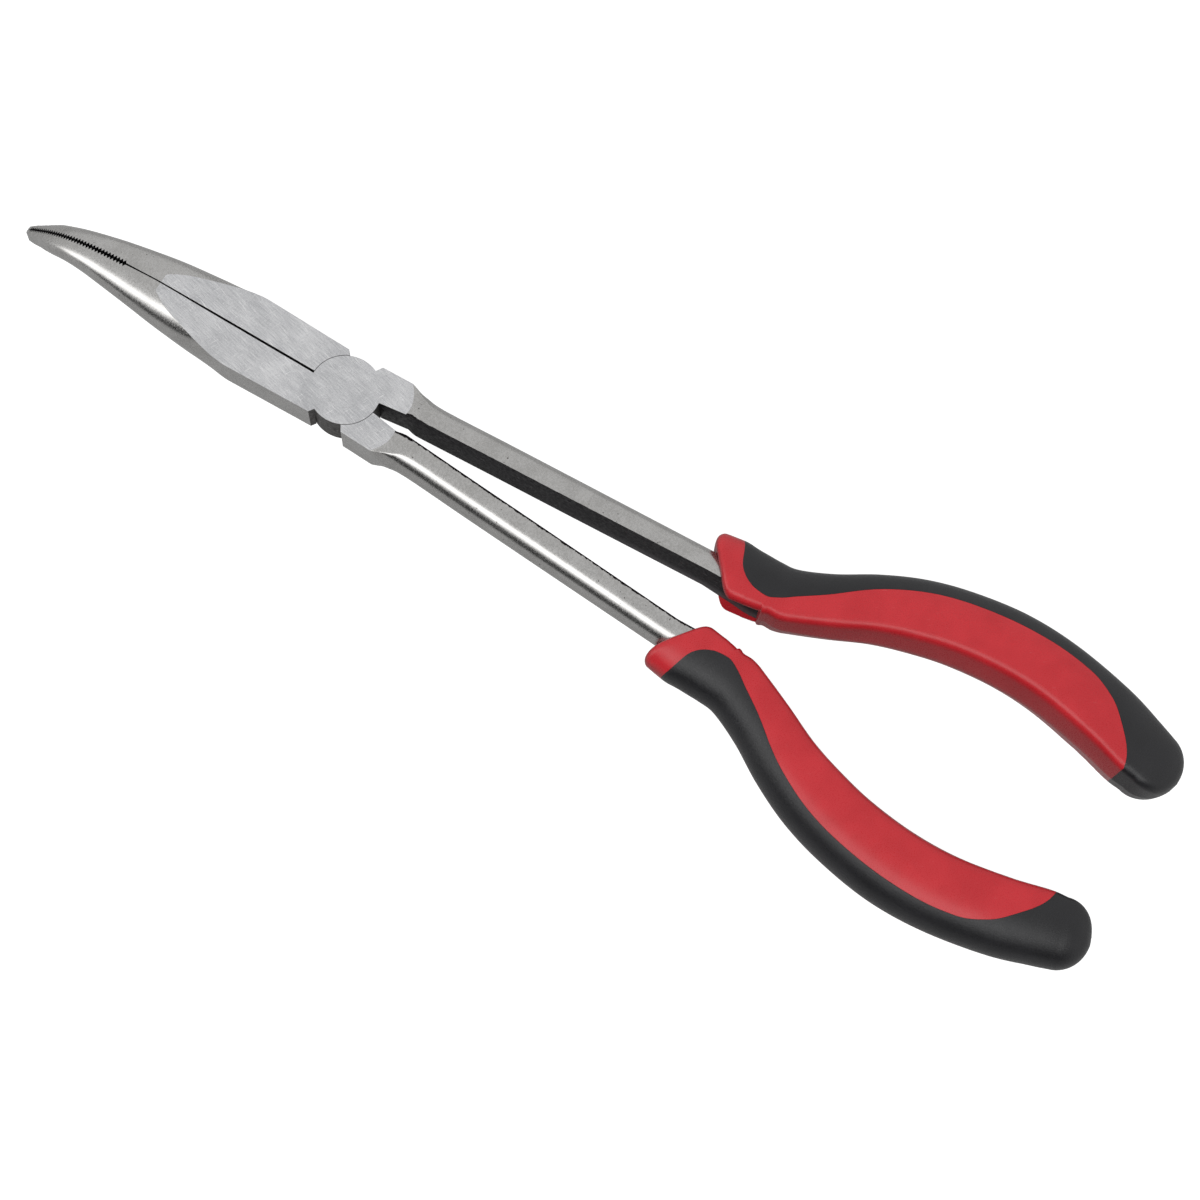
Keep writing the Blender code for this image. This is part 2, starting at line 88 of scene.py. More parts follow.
# Jaws: distance along the nose against half the gap, half width, and how round the section is
JAW_GAP = [(8, 0.27), (30, 0.24), (50, 0.15), (56, 0.2), (75, 0.14), (88, 0.08)]
JAW_BLOCK_END = 24.0
NOSE_LENGTH = 87.0
JAW_HALF_WIDTH = [(24, 8.75), (29, 8.9), (34, 8.78), (38, 8.5), (45, 7.8), (52, 6.8), (59, 5.75),
                  (66, 4.65), (72, 3.9), (78, 3.35), (83, 2.85), (NOSE_LENGTH, 2.05)]
JAW_CROWN = [(24, 0), (26, 0.045), (28, 0.078), (30.5, 0.108), (33.5, 0.135), (37, 0.159), (41, 0.178),
             (46, 0.202), (52, 0.227), (60, 0.256), (66, 0.286), (72, 0.333), (78, 0.39), (84, 0.46),
             (NOSE_LENGTH, 0.52)]
CROWN_POWER = 2.3
FLAT_LAND = 0.85
# Share of the full height that the crown takes before the land next to the gap lowers the top
LAND_FROM = 0.5
THINNEST_TIP = 0.1
JAW_STEPS = 14
JAW_RING_STEP = 0.75
# Distance along the nose against how far it has turned down, in degrees
BEND = [(44, 0), (52, 5.7), (56, 7.2), (60, 10), (64, 14.5), (68, 21), (72, 29), (76, 35), (80, 40),
        (84, 41), (88, 41)]
BEND_STEP = 0.25
TEETH_START = 55.2
TEETH_LEAD = 0.6
TEETH_PITCH = 0.8
TEETH_COUNT = 38
TOOTH_DEPTH = 0.6
TIP_ROUND = 0.25
# Each side of the tip is ground flat: how far out that plane lies along the nose, and its tilt
TIP_FACET = [(75, 3.7), (77, 3.2), (80, 2.6), (84, 2.05), (NOSE_LENGTH, 1.5)]
TIP_FACET_TILT = math.radians(28)

# Handle bars
HANDLE_LEAN = math.tan(math.radians(0.52))
FORGED_DRAFT = 1.0
FLAT_END_BULGE = 0.95
# Rows over which the flat's end turns into the bar, and over which its bulge dies out
ROOT_ROWS = 2.0
BULGE_ROWS = 2.5
ROOT_STEP = 0.08
BAR_STEP = 0.25
# Points across a bar's flat, and round a quarter of its outer side
BAR_COLUMNS = 6
BAR_ROUND_STEPS = 10
# Sections along a bar: inner edge, outer edge, half thickness, and how far in the outer side is rounded
REIN = [((2.1, -13.9), (8.76, -11.6), 4.8, 0.0),
        ((2.45, -14.6), (8.74, -12.7), 4.62, 0.5),
        ((2.6, -16.8), (8.62, -15.4), 4.35, 2.2),
        ((2.8, -20.5), (8.4, -20.0), 4.25, 3.8),
        ((3.7, -35.0), (9.3, -35.0), 4.25, 4.2),
        ((4.75, -53.0), (10.3, -53.0), 4.25, 4.2),
        ((6.75, -86.0), (12.1, -86.0), 4.25, 4.2)]
# Steel inside the grip: middle, angle of the section, half width, half thickness, rounding, draft
TANG = [(9.5, -93.0, 3, 2.55, 4.2, 3.8, 1.5), (9.5, -99.5, 8, 2.6, 4.0, 3.2, 1.5),
        (11.9, -106.5, 24, 2.7, 3.5, 2.2, 0.3), (15.1, -112.7, 28, 2.7, 3.5, 2.2, 0.0),
        (19.4, -120.8, 25, 2.7, 3.5, 2.2, 0.0), (22.8, -129.3, 19, 2.7, 3.5, 2.2, 0.0),
        (25.2, -138.4, 11, 2.7, 3.5, 2.2, 0.0), (26.5, -147.0, 4, 2.7, 3.5, 2.2, 0.0)]

# Grip: middle, angle of the section, half width and half thickness
GRIP = [(9.5, -87.15, 38, 7.7, 6.2),
        (10.2, -92.0, 35, 7.8, 6.5),
        (10.55, -96.25, 28.7, 7.8, 6.5),
        (10.9, -101.25, 22.5, 7.17, 6.4),
        (11.86, -105.25, 24, 6.8, 6.5),
        (15.1, -112.7, 28, 7.0, 6.9),
        (19.4, -120.8, 25, 7.55, 7.3),
        (22.8, -129.3, 19, 8.15, 7.6),
        (25.2, -138.4, 11, 8.4, 7.8),
        (26.65, -149.6, 2.5, 8.64, 7.8),
        (26.3, -160.9, -6, 8.57, 7.8),
        (24.1, -173.6, -12.5, 8.4, 7.7),
        (21.65, -182.2, -16, 8.05, 7.4),
        (20.75, -186.0, -17, 7.6, 7.0)]
# Where the cover's edge lies on the front: row of the grip against distance across its section
COVER_EDGE = [(1.08, 1.6), (1.11, 0.3), (1.2, -1.0), (1.38, -2.0), (1.7, -2.8), (2.3, -3.17), (3.0, -2.07),
              (4.6, 0.48), (5.5, 2.15), (6.3, 3.15), (7.3, 3.95), (8.2, 4.15), (9.1, 4.25), (9.8, 4.4),
              (10.35, 4.2), (10.8, 2.66), (11.27, -0.32), (11.86, -4.06), (12.14, -6.6)]
COVER_START = COVER_EDGE[0][0]
COVER_END = COVER_EDGE[-1][0]
# The collar's end and the cover's start both fall back round the outer side, over some rows
COLLAR_FALL = 1.8
COLLAR_FALL_ROWS = 1.1
COVER_FALL = 1.4
COVER_FALL_ROWS = 1.2
# Lean of the inner wall from the mid-plane to the faces, by row
WALL_DRAFT = [(1.9, 0.0), (3.0, 0.12), (6.0, 0.24), (9.0, 0.26), (11.5, 0.17), (13.0, 0.14)]
# How far the inner wall stands back, by row: the collar's lips, then a nub where its slit ends
LIP_RECESS = [(0.0, 0.0), (1.0, 0.35), (2.12, 1.1), (2.2, 0.65), (2.3, 0.65), (2.48, 0.8), (3.0, 0.25),
              (3.6, 0.0)]
# Share of the half width, on the inner side, where the recess begins, and over which it comes in full
RECESS_FROM = 0.4
RECESS_OVER = 0.5
SLIT_END = 2.14
GRIP_END = len(GRIP) - 1.0
CAP_LENGTH = 7.2
LIP_ROUND = 2.1
INNER_CORNER = 1.9
GRIP_FLAT = 0.35
GRIP_POWER = 2.2
COVER_THICKNESS = 1.0
COVER_SEAM = 0.05
POCKET_GAP = 0.1
POCKET_POINT = 0.05
SLIT_HALF_HEIGHT = 4.5
SLIT_FLOOR = 1.0
SLIT_PAST_WALL = 2.0
SLIT_PAST_LIP = 3.0

# Camera, as the photograph was taken, in metres
CAMERA_TARGET = Vector((-0.0091, -0.0691, 0.0))
CAMERA_DISTANCE = 0.5331
CAMERA_AZIMUTH = math.radians(-69.78)
CAMERA_ELEVATION = math.radians(74.87)
CAMERA_ROLL = math.radians(10.8)
CAMERA_LENS = 75.0


# ---------------------------------------------------------------- curves and meshes

# Points closer than this are joined: in millimetres while a form is drawn, then in metres once it is cut
WELD_DISTANCE = 1e-5
CLEAN_DISTANCE = 2e-6
TURNED_SEGMENTS = 128
LAP_SEGMENTS = 180


def along(knots, at):
    """A smooth curve through (distance, value) knots, level where the values turn."""
    at = min(max(at, knots[0][0]), knots[-1][0])
    slopes = [(b[1] - a[1]) / (b[0] - a[0]) for a, b in zip(knots, knots[1:])]

    def tangent(i):
        if i in (0, len(slopes)):
            return slopes[min(i, len(slopes) - 1)]
        left, right = slopes[i - 1], slopes[i]
        return 2 * left * right / (left + right) if left * right > 0 else 0.0

    i = max(k for k in range(len(slopes)) if knots[k][0] <= at)
    width = knots[i + 1][0] - knots[i][0]
    t = (at - knots[i][0]) / width
    start = (2 * t**3 - 3 * t**2 + 1) * knots[i][1] + (t**3 - 2 * t**2 + t) * width * tangent(i)
    end = (3 * t**2 - 2 * t**3) * knots[i + 1][1] + (t**3 - t**2) * width * tangent(i + 1)
    return start + end


def between(rows, at):
    """The row at a fractional index, on a Catmull-Rom curve through all the rows."""
    i = min(int(at), len(rows) - 2)
    t = at - i
    picked = [rows[min(max(k, 0), len(rows) - 1)] for k in (i - 1, i, i + 1, i + 2)]
    return [0.5 * (2 * b + (c - a) * t + (2 * a - 5 * b + 4 * c - d) * t**2
                   + (3 * b - a - 3 * c + d) * t**3) for a, b, c, d in zip(*picked)]


def smooth(t):
    t = min(max(t, 0.0), 1.0)
    return t * t * (3 - 2 * t)


def spread(start, end, step):
    """Evenly spaced values from start to end, both included, about a step apart."""
    count = max(1, math.ceil(abs(end - start) / step))
    return [start + (end - start) * i / count for i in range(count + 1)]


def even(points, count):
    """Spreads a polyline's points evenly along its length."""
    lengths = [math.dist(a, b) for a, b in zip(points, points[1:])]
    total = sum(lengths)
    out = [points[0]]
    for k in range(1, count):
        target = total * k / count
        i = 0
        while i < len(lengths) - 1 and target > lengths[i]:
            target -= lengths[i]
            i += 1
        t = target / lengths[i]
        out.append(tuple(a + t * (b - a) for a, b in zip(points[i], points[i + 1])))
    return out + [points[-1]]


def verts(bm, points):
    return [bm.verts.new(p) for p in points]


def loft(bm, rings, start_cap=True, end_cap=True):
    """Skins a row of equal rings of vertices."""
    for low, high in zip(rings, rings[1:]):
        for i in range(len(low)):
            j = (i + 1) % len(low)
            bm.faces.new((low[i], low[j], high[j], high[i]))
    if start_cap:
        bm.faces.new(rings[0])
    if end_cap:
        bm.faces.new(rings[-1])


def raw_object(name, bm):
    """Places the working mesh in the scene, in metres, with its faces outwards."""
    bmesh.ops.remove_doubles(bm, verts=bm.verts, dist=WELD_DISTANCE)
    bmesh.ops.recalc_face_normals(bm, faces=bm.faces)
    bmesh.ops.scale(bm, vec=(MM, MM, MM), verts=bm.verts)
    mesh = bpy.data.meshes.new(name)
    bm.to_mesh(mesh)
    bm.free()
    made = bpy.data.objects.new(name, mesh)
    bpy.context.scene.collection.objects.link(made)
    return made


def carve(target, cutters):
    """Takes the cutters' volumes out of the target for good."""
    for cutter in cutters:
        modifier = target.modifiers.new(cutter.name, "BOOLEAN")
        modifier.operation = "DIFFERENCE"
        modifier.solver = "EXACT"
        modifier.object = cutter
    graph = bpy.context.evaluated_depsgraph_get()
    shape = bpy.data.meshes.new_from_object(target.evaluated_get(graph))
    target.modifiers.clear()
    target.data = shape
    for cutter in set(cutters):
        bpy.data.objects.remove(cutter)


def finish_edges(target, width, sharp_from, wanted=lambda edge: True):
    """Breaks the wanted sharp edges with a small round, then smooths the rest."""
    bm = bmesh.new()
    bm.from_mesh(target.data)
    bmesh.ops.remove_doubles(bm, verts=bm.verts, dist=CLEAN_DISTANCE)
    bmesh.ops.dissolve_degenerate(bm, edges=bm.edges, dist=CLEAN_DISTANCE)
    if width:
        sharp = [e for e in bm.edges if len(e.link_faces) == 2
                 and e.calc_face_angle(0.0) > math.radians(sharp_from) and wanted(e)]
        bmesh.ops.bevel(bm, geom=sharp, offset=width * MM, offset_type="OFFSET", segments=2,
                        profile=0.6, affect="EDGES", clamp_overlap=True, miter_outer="ARC")
    bm.to_mesh(target.data)
    bm.free()
    target.data.shade_smooth()
    target.data.set_sharp_from_angle(angle=math.radians(sharp_from))
    modifier = target.modifiers.new("even shading", "WEIGHTED_NORMAL")
    modifier.keep_sharp = True
    modifier.weight = 80


def ready(piece, node, slot, body, *finishes):
    """Gives a piece its material and its place in the frame."""
    piece.data.materials.clear()
    for finish in finishes:
        piece.data.materials.append(finish)
    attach(piece, body)
    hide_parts(node)
    return piece


# ---------------------------------------------------------------- forged halves

def nose_frame(distance):
    """Place along Y, drop, and tilt of the nose's middle line at a distance from the pivot."""
    y, drop = min(distance, BEND[0][0]), 0.0
    steps = math.ceil(max(distance - y, 0.0) / BEND_STEP)
    step = (distance - y) / max(steps, 1)
    for i in range(steps):
        tilt = math.radians(along(BEND, BEND[0][0] + (i + 0.5) * step))
        y += step * math.cos(tilt)
        drop += step * math.sin(tilt)
    return y, drop, math.radians(along(BEND, distance))


def jaw_section(distance):
    """Half section of a jaw as (width, height) points, from its front inner edge to its back one."""
    half_width = along(JAW_HALF_WIDTH, distance)
    crown = along(JAW_CROWN, distance)

    def width_at(height):
        return half_width * max(1 - (height * crown) ** CROWN_POWER, 0.0) ** (1 / CROWN_POWER)

    top = HALF
    if crown > LAND_FROM / HALF:
        ridge = (1 - (FLAT_LAND / half_width) ** CROWN_POWER) ** (1 / CROWN_POWER) / crown
        top = min(ridge, HALF)
    turns = [math.pi / 2 * i / JAW_STEPS for i in range(JAW_STEPS + 1)]
    front = [(width_at(top * math.cos(a)), top * math.cos(a)) for a in turns]
    if distance > TIP_FACET[0][0]:
        reach = along(TIP_FACET, distance)
        out, up = math.cos(TIP_FACET_TILT), math.sin(TIP_FACET_TILT)
        ground = [min(1.0, reach / (w * out + z * up)) for w, z in front]
        front = [(w * g, z * g) for (w, z), g in zip(front, ground)]
    return [(0.0, top)] + front + [(w, -z) for w, z in front[-2::-1]] + [(0.0, -top)]


def jaw_ring(distance, bend, tooth=0.0, inset=0.0):
    """Points around one jaw, on the -X side, with its inner face moved out by a tooth."""
    y, drop, tilt = nose_frame(distance)
    gap = along(JAW_GAP, distance)
    points = []
    for width, height in jaw_section(distance):
        x = -(gap + tooth) if width == 0.0 else -max(width - inset, gap + THINNEST_TIP)
        height -= math.copysign(min(inset, abs(height)), height)
        points.append((x, y + bend * height * math.sin(tilt), -bend * drop + height * math.cos(tilt)))
    return points


def jaw_rings(bend):
    """Rings from the joint block to the tip, with serrations that face each other."""
    plain = spread(JAW_BLOCK_END + JAW_RING_STEP, TEETH_START - TEETH_LEAD, JAW_RING_STEP)
    rings = [jaw_ring(distance, bend) for distance in plain]
    for i in range(2 * TEETH_COUNT + 1):
        tooth = TOOTH_DEPTH if i % 2 else 0.0
        rings.append(jaw_ring(TEETH_START + i * TEETH_PITCH / 2, bend, tooth))
    rings.append(jaw_ring(NOSE_LENGTH - TIP_ROUND, bend))
    for turn in (30, 60, 90):
        turn = math.radians(turn)
        rings.append(jaw_ring(NOSE_LENGTH - TIP_ROUND * (1 - math.sin(turn)), bend,
                              inset=TIP_ROUND * (1 - math.cos(turn))))
    return rings


def rein_ring(row, draft, bulge=0.0, grow=0.0):
    """Points around one handle bar, D-shaped, from its front inner edge to its back one."""
    inner, outer, half, rounding = Vector(row[0]), Vector(row[1]), row[2], row[3]
    across = (outer - inner).normalized()
    reach = (outer - inner).length
    flat = reach + grow - rounding
    outline = [(-grow + (flat + grow) * i / BAR_COLUMNS, half + grow) for i in range(BAR_COLUMNS)]
    for i in range(BAR_ROUND_STEPS + 1):
        height = math.cos(i * math.pi / 2 / BAR_ROUND_STEPS)
        side = flat + rounding * math.sqrt(max(1 - height**2, 0.0))
        outline.append((side, (half + grow) * height))
    outline += [(w, -z) for w, z in outline[-2:0:-1]]
    outline.append((-grow - draft, -half - grow))
    points = []
    for w, z in outline:
        place = inner + across * w
        share = min(max(w / reach, 0.0), 1.0)
        points.append((place.x, place.y - bulge * 4 * share * (1 - share), z))
    return points


def rein_rings(grow=0.0, start=0.0):
    """Rings from the end of the joint's flat to the grip."""
    flat_rows = [(*row[0], *row[1], row[2], row[3]) for row in REIN]
    rings = []
    for at in spread(start, ROOT_ROWS, ROOT_STEP) + spread(ROOT_ROWS, len(REIN) - 1.0, BAR_STEP)[1:]:
        x0, y0, x1, y1, half, rounding = between(flat_rows, at)
        row = ((x0, y0), (x1, y1), half, max(rounding, 0.0))
        rings.append(rein_ring(row, FORGED_DRAFT * smooth(at / ROOT_ROWS), grow=grow,
                               bulge=FLAT_END_BULGE * (1 - smooth(at / BULGE_ROWS))))
    return rings


def tang_rings(grow=0.0):
    """Rings along the steel that runs inside the grip."""
    rings = []
    for at in spread(0.0, len(TANG) - 1.0, BAR_STEP):
        x, y, angle, half_width, half_thickness, rounding, draft = between(TANG, at)
        across = Vector((math.cos(math.radians(angle)), math.sin(math.radians(angle))))
        middle = Vector((x, y))
        row = (middle - across * half_width, middle + across * half_width, half_thickness, rounding)
        rings.append(rein_ring(row, draft, grow=grow))
    return rings


def arc(start, end, step=2.0):
    """Points round the disc from one angle to another, in degrees, both ends included."""
    angles = [math.radians(a) for a in spread(start, end, step)]
    return [(DISC_RADIUS * math.cos(a), DISC_RADIUS * math.sin(a)) for a in angles]


def lean(point, side):
    """Moves a point of the handle sideways by the handles' lean, in the half's own frame."""
    x, y, z = point
    return (x - side * HANDLE_LEAN * max(-y - DISC_RADIUS, 0.0), y, z)


def to_world(point, side):
    """From a half's own frame, where the handle is on +X, to the tool's frame."""
    x, y, z = point
    return (side * x, y, side * z + HALF)


def half_blank(side):
    """One half before the lap is cut."""
    bm = bmesh.new()
    shoulder = math.degrees(math.asin(JAW_SHOULDER[1] * SHOULDER_SINK / DISC_RADIUS))
    slot = math.degrees(math.acos(SLOT_HALF_WIDTH / DISC_RADIUS))
    jaw_root = jaw_ring(JAW_BLOCK_END, side)
    bar_rings = rein_rings()
    bar_root = bar_rings[0]
    columns = BAR_COLUMNS + 1
    gap = JAW_GAP[0][1]

    flat_end = [(x, y) for x, y, z in bar_root[:columns]]
    outline = [(jaw_root[0][0], JAW_BLOCK_END), (-gap, DISC_RADIUS)]
    outline += arc(90 + math.degrees(gap / DISC_RADIUS), -shoulder)[1:] + [HANDLE_SHOULDER]
    outer_end = len(outline)
    outline += flat_end[::-1]
    inner_end = len(outline) - 1
    outline += arc(-slot, -180 - shoulder)
    outline += [(-JAW_SHOULDER[0], JAW_SHOULDER[1]), (-JAW_HALF_WIDTH[0][1], JAW_BLOCK_END)]
    front = verts(bm, [(x, y, HALF) for x, y in outline])
    back = verts(bm, [(x, y, -HALF) for x, y in outline])
    last = len(outline) - 1

    jaw_side = verts(bm, jaw_root[2:-2])
    jaw = [verts(bm, ring) for ring in jaw_rings(side)]
    loft(bm, [[front[0], front[last]] + jaw_side + [back[last], back[0]]] + jaw, start_cap=False)

    bar_side = verts(bm, bar_root[columns:-columns])
    bar = [verts(bm, ring) for ring in bar_rings[1:] + tang_rings()]
    root = front[outer_end:inner_end + 1][::-1] + bar_side + back[outer_end:inner_end + 1]
    loft(bm, [root] + bar, start_cap=False)

    bm.faces.new(front)
    bm.faces.new(back)
    for i in range(last):
        if outer_end <= i < inner_end:
            continue
        extra = []
        if i == last - 1:
            extra = jaw_side
        elif i == outer_end - 1:
            extra = bar_side
        bm.faces.new([front[i], front[i + 1]] + extra + [back[i + 1], back[i]])
    for v in bm.verts:
        v.co = to_world(lean(v.co, side), side)
    return bm


def turned(name, profile, segments=TURNED_SEGMENTS):
    """A closed turned solid from (radius, height) points."""
    bm = bmesh.new()
    rings = []
    for radius, height in profile:
        around = [2 * math.pi * i / segments for i in range(segments)]
        rings.append(verts(bm, [(radius * math.cos(a), radius * math.sin(a), height) for a in around]))
    loft(bm, rings)
    return raw_object(name, bm)


def rivet_profile(grow, past):
    """Shank with a flared head at each end, and past both faces of the joint by a given height."""
    slope = (RIVET_HEAD_RADIUS - RIVET_RADIUS) / RIVET_HEAD_DEPTH
    head = RIVET_HEAD_RADIUS + grow + past * slope
    shank = RIVET_RADIUS + grow
    return [(head, -past), (shank, RIVET_HEAD_DEPTH), (shank, JOINT_THICKNESS - RIVET_HEAD_DEPTH),
            (head, JOINT_THICKNESS + past)]


# Places of the finishes among a half's materials, and the size of the notches between the shoulders
GROUND, BLACK, DARK = 1, 2, 3
NOTCH_REACH = 9.6
NOTCH_HALF_LENGTH = 4.15
DISC_WALL_REACH = 0.5
# Shares of a face's normal: up or down for a top, a flat or a wall, and inwards for an inner side
TOP = 0.9995
FLAT = 0.9
WALL = 0.35
JAW_INNER = 0.3
BAR_INNER = 0.6
BAR_TURNING = 0.15
# Edges sharper than this, in degrees, are broken: on the steel up to the teeth and clear of the rivet,
# and on the grips only round the collar
SHARP_STEEL = 34
TEETH_CLEARANCE = 2.0
RIVET_CLEARANCE = 0.5
SHARP_GRIP = 40
COLLAR_BREAK = 0.12
COLLAR_BREAK_REACH = 101.0


def make_half(name, side, finishes):
    """A forged half: its blank, less the lap for the other half's disc and the rivet's hole."""
    half = raw_object(f"{name}_forging", half_blank(side))
    lap = HALF + side * LAP_GAP / 2
    outside = HALF - side * (HALF + LAP_PAST)
    radius = DISC_RADIUS + ARC_GAP
    lap_profile = [(radius, min(lap, outside)), (radius, max(lap, outside))]
    lap_cutter = turned("lap_cutter", lap_profile, LAP_SEGMENTS)
    hole_cutter = turned("hole_cutter", rivet_profile(RIVET_SEAM, HOLE_PAST))
    carve(half, [lap_cutter, hole_cutter])

    def in_joint(edge):
        middle = (edge.verts[0].co + edge.verts[1].co) / (2 * MM)
        return (middle.y < TEETH_START - TEETH_CLEARANCE
                and middle.xy.length > RIVET_HEAD_RADIUS + RIVET_CLEARANCE)

    finish_edges(half, EDGE_BREAK, SHARP_STEEL, in_joint)
    ready(half, name, "forged_steel", LEVERS[side], *finishes)
    for face in half.data.polygons:
        centre = face.center / MM
        radius = math.hypot(centre.x, centre.y)
        depth = min(centre.z, JOINT_THICKNESS - centre.z)
        tilt = abs(face.normal.z)
        inward = side * math.copysign(1, centre.y) * face.normal.x
        if tilt > WALL and depth < EDGE_BREAK and (tilt > TOP or radius < NOTCH_REACH):
            face.material_index = GROUND
        # The notch walls and the walls round the lap take the steel darkened as painted shade.
        elif radius < NOTCH_REACH and tilt < WALL and abs(centre.y) < NOTCH_HALF_LENGTH:
            face.material_index = DARK
        elif radius < DISC_RADIUS + DISC_WALL_REACH and tilt < WALL:
            face.material_index = DARK
        # The jaws' inner faces take the black oxide, which also serves as painted shade for the narrow gap
        # between the closed jaws.
        elif centre.y > DISC_RADIUS and inward > JAW_INNER:
            face.material_index = BLACK
        elif centre.y < -DISC_RADIUS / 2 and inward > BAR_INNER:
            face.material_index = BLACK
    mark_scale_edge(half, side)
    return half


def mark_scale_edge(half, side):
    """Marks the points where a handle bar's faces turn to its inner side, which holds black scale."""
    turning, flat = set(), set()
    for face in half.data.polygons:
        if face.center.y < -DISC_RADIUS * MM and face.material_index != GROUND:
            if -side * face.normal.x > BAR_TURNING:
                turning.update(face.vertices)
            if abs(face.normal.z) > FLAT:
                flat.update(face.vertices)
    marks = half.data.attributes.new("scale_edge", "FLOAT", "POINT")
    for i in turning & flat:
        marks.data[i].value = 1.0


# ---------------------------------------------------------------- grips

CORNER_STEPS = 8
SWELL_STEPS = 20
WALL_STEPS = 16
SKIN_STEPS = 20
CAP_STEPS = 15
LIP_ANGLES = spread(0, 80, 10)
# Steps between the grip's sections, in rows of its table
FINE_STEP = 0.02
SLIT_STEP = 0.05
LONG_STEP = 0.06
CORE_STEP = 0.01
STEP_IN = 0.001
SLIT_CUT_STEP = 0.15
LIP_LENGTH = 0.5
EDGE_TURN_END = 1.4
NUB_START = SLIT_END - 0.05
NUB_END = 2.55
POCKET_ROWS = 1.5


def grip_outline(half_width, half_thickness, draft, inset=0.0):
    """Front half of the grip's section from its inner side to its outer side, as (across, up).
    The inner side is a drafted wall with a soft corner, and the outer side is a rounded swell."""
    half_width -= inset
    half_thickness -= inset
    wall_angle = math.atan(draft)
    corner_start = half_thickness - INNER_CORNER * (1 - math.sin(wall_angle))
    flat_start = -half_width + draft * corner_start + INNER_CORNER * math.cos(wall_angle)
    flat_end = flat_start + GRIP_FLAT * half_width
    points = [(-half_width, 0.0)]
    for i in range(CORNER_STEPS + 1):
        angle = wall_angle + (math.pi / 2 - wall_angle) * i / CORNER_STEPS
        points.append((flat_start - INNER_CORNER * math.cos(angle),
                       half_thickness - INNER_CORNER * (1 - math.sin(angle))))
    for i in range(SWELL_STEPS + 1):
        angle = math.pi / 2 * i / SWELL_STEPS
        swell = math.sin(angle) ** (2 / GRIP_POWER)
        rise = max(math.cos(angle), 0.0) ** (2 / GRIP_POWER)
        points.append((flat_end + (half_width - flat_end) * swell, half_thickness * rise))
    points[-1] = (half_width, 0.0)
    return points


def split(points, start):
    """The front outline's two parts, on the inner and outer side of an across value."""
    for i in range(len(points) - 1):
        low, high = points[i], points[i + 1]
        if low[0] <= start < high[0]:
            t = (start - low[0]) / (high[0] - low[0])
            edge = (start, low[1] + t * (high[1] - low[1]))
            return points[:i + 1] + [edge], [edge] + points[i + 1:]
    return points, points[-2:]


def mirrored(points):
    """An outline of the front, then its mirror on the back, met at the outer side."""
    return points + [(u, -z) for u, z in points[-2::-1]]


def station(at, side):
    """The grip's section at a fractional row of its table, and how to place points on it."""
    x, y, angle, half_width, half_thickness = between(GRIP, at)
    angle = math.radians(angle)
    across = Vector((math.cos(angle), math.sin(angle)))
    rising = smooth(at / COVER_START)
    if at >= COVER_START:
        rising = 1 - smooth((at - COVER_START) / COVER_FALL_ROWS)
    recess = along(LIP_RECESS, at)

    def place(point, past=0.0):
        u, z = point
        outer = max(u / half_width, 0.0)
        past += COLLAR_FALL * outer**4 * (1 - smooth(at / COLLAR_FALL_ROWS))
        past += COVER_FALL * rising * smooth(outer)
        u += recess * smooth((-u / half_width - RECESS_FROM) / RECESS_OVER)
        x_at = x + across.x * u + past * math.sin(angle)
        y_at = y + across.y * u - past * math.cos(angle)
        return to_world(lean((x_at, y_at, z), side), side)

    def outline(inset=0.0, scale=1.0):
        return grip_outline(half_width * scale, half_thickness * scale, along(WALL_DRAFT, at), inset)

    return place, outline, along(COVER_EDGE, at), half_width


def core_ring(at, side, inset=0.0, recess=COVER_THICKNESS):
    """Section of the hard core: its own face round the inner side, then the floor under the cover."""
    place, outline, edge, _ = station(at, side)
    wall, floor = split(outline(inset), edge)
    if recess:
        floor = split(outline(inset + recess), edge)[1]
    front = even(wall, WALL_STEPS) + even(floor, SKIN_STEPS)
    ring = front + [(u, -z) for u, z in front[-2:0:-1]]
    return [place(p) for p in ring]


def core_blank(side):
    """The core's whole form, from the rounded lip of the collar to its end inside the cover."""
    bm = bmesh.new()
    rings = []
    for angle in LIP_ANGLES:
        turn = math.radians(angle)
        at = LIP_ROUND * (1 - math.cos(turn)) / math.dist(GRIP[0][:2], GRIP[1][:2])
        rings.append(core_ring(at, side, inset=LIP_ROUND * (1 - math.sin(turn)), recess=0.0))
    collar = spread(LIP_LENGTH, COVER_START - CORE_STEP, LONG_STEP)
    collar += spread(COVER_START - CORE_STEP, COVER_START, CORE_STEP)[1:]
    rings += [core_ring(at, side, recess=0.0) for at in collar]
    rings += [core_ring(at, side) for at in cover_stations()]
    loft(bm, [verts(bm, ring) for ring in rings])
    return bm


def cover_stations():
    """Rows of the grip along the cover, closer where its edge turns and at the collar's slit."""
    return (spread(COVER_START + STEP_IN, EDGE_TURN_END, FINE_STEP)
            + spread(EDGE_TURN_END, NUB_START, SLIT_STEP)[1:]
            + spread(NUB_START, NUB_END, FINE_STEP)[1:]
            + spread(NUB_END, COVER_END, LONG_STEP)[1:])


def cover_ring(at, side):
    """Section of the soft cover where it lies on the core: outer skin, then inner skin."""
    place, outline, edge, _ = station(at, side)
    skin = even(split(outline(), edge + COVER_SEAM)[1], SKIN_STEPS)
    inner = even(split(outline(COVER_THICKNESS - COVER_SEAM), edge + COVER_SEAM)[1], SKIN_STEPS)
    return [place(p) for p in mirrored(skin) + mirrored(inner)[::-1]]


